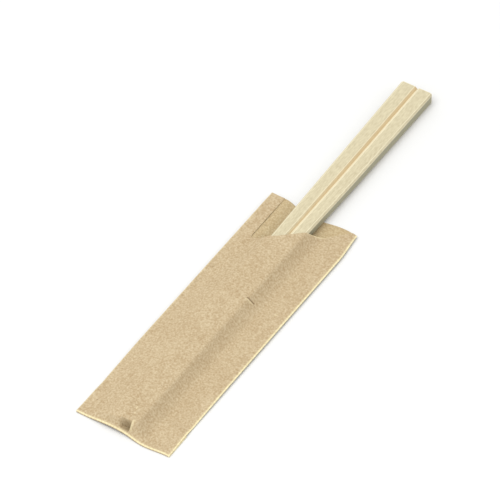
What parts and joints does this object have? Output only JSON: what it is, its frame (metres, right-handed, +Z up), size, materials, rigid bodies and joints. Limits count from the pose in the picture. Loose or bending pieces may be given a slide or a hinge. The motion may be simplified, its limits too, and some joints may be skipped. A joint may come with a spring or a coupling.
{
  "type": "disposable wooden chopsticks",
  "caption": "Unsplit pair of disposable wooden chopsticks, grooved and slit between the sticks, lying tips first in a half-length folded kraft paper sleeve with a slanted mouth.",
  "frame": {"origin": "middle of the footprint, on the surface that the sleeve lies on", "axes": "+Y along the sleeve from its closed end to the butts of the sticks, +Z up through the front of the sleeve, +X across the sleeve"},
  "size_m": [0.036, 0.184, 0.0049],
  "materials": {
    "aspen_wood": "matte",
    "kraft_paper": "matte"
  },
  "bodies": {
    "root": {"chopstick_pair": "aspen_wood", "paper_sleeve": "kraft_paper"}
  },
  "joints": []
}
